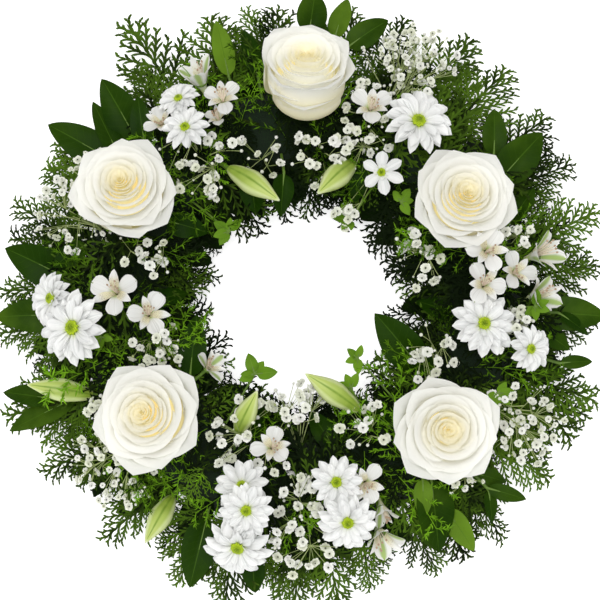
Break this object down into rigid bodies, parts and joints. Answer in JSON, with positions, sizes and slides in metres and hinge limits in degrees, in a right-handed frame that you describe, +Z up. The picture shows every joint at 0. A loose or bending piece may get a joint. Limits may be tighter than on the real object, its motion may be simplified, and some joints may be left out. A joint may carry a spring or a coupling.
{
  "type": "funeral wreath",
  "caption": "Round open funeral wreath of white roses, daisies, alstroemerias and lily buds with leaves and cedar, set in a foam ring on a shallow tray.",
  "frame": {"origin": "centre of the ring at table level, under the tray, which is also the bottom centre of the whole wreath", "axes": "+Z up out of the ring towards the blooms, as the wreath lies on a table; +Y towards the single rose at twelve o'clock, +X towards three o'clock"},
  "size_m": [0.5267, 0.529, 0.1281],
  "materials": {
    "tray_plastic": "satin",
    "wet_foam": "matte",
    "rose_petals": "satin",
    "daisy_petals": "satin",
    "alstroemeria_petals": "satin",
    "lily_bud_skin": "satin",
    "leaf_green": "satin",
    "cedar_green": "matte",
    "gypsophila_bloom": "matte"
  },
  "bodies": {
    "root": {"ring_tray": "tray_plastic", "foam_ring": "wet_foam", "rose_1": "rose_petals", "rose_2": "rose_petals", "rose_3": "rose_petals", "rose_4": "rose_petals", "rose_5": "rose_petals", "daisy_1": "daisy_petals", "daisy_2": "daisy_petals", "daisy_3": "daisy_petals", "daisy_4": "daisy_petals", "daisy_5": "daisy_petals", "daisy_6": "daisy_petals", "daisy_7": "daisy_petals", "daisy_8": "daisy_petals", "daisy_9": "daisy_petals", "daisy_10": "daisy_petals", "daisy_11": "daisy_petals", "daisy_12": "daisy_petals", "daisy_13": "daisy_petals", "alstroemeria_1": "alstroemeria_petals", "alstroemeria_2": "alstroemeria_petals", "alstroemeria_3": "alstroemeria_petals", "alstroemeria_4": "alstroemeria_petals", "alstroemeria_5": "alstroemeria_petals", "alstroemeria_6": "alstroemeria_petals", "alstroemeria_7": "alstroemeria_petals", "alstroemeria_8": "alstroemeria_petals", "alstroemeria_9": "alstroemeria_petals", "alstroemeria_10": "alstroemeria_petals", "alstroemeria_11": "alstroemeria_petals", "alstroemeria_12": "alstroemeria_petals", "lily_bud_1": "lily_bud_skin", "lily_bud_2": "lily_bud_skin", "lily_bud_3": "lily_bud_skin", "lily_bud_4": "lily_bud_skin", "lily_bud_5": "lily_bud_skin", "lily_bud_6": "lily_bud_skin", "leaf_1": "leaf_green", "leaf_2": "leaf_green", "leaf_3": "leaf_green", "leaf_4": "leaf_green", "leaf_5": "leaf_green", "leaf_6": "leaf_green", "leaf_7": "leaf_green", "leaf_8": "leaf_green", "leaf_9": "leaf_green", "leaf_10": "leaf_green", "leaf_11": "leaf_green", "cedar_1": "cedar_green", "cedar_2": "cedar_green", "cedar_3": "cedar_green", "cedar_4": "cedar_green", "cedar_5": "cedar_green", "cedar_6": "cedar_green", "cedar_7": "cedar_green", "gypsophila_1": "gypsophila_bloom", "gypsophila_2": "gypsophila_bloom", "gypsophila_3": "gypsophila_bloom", "gypsophila_4": "gypsophila_bloom"}
  },
  "joints": []
}
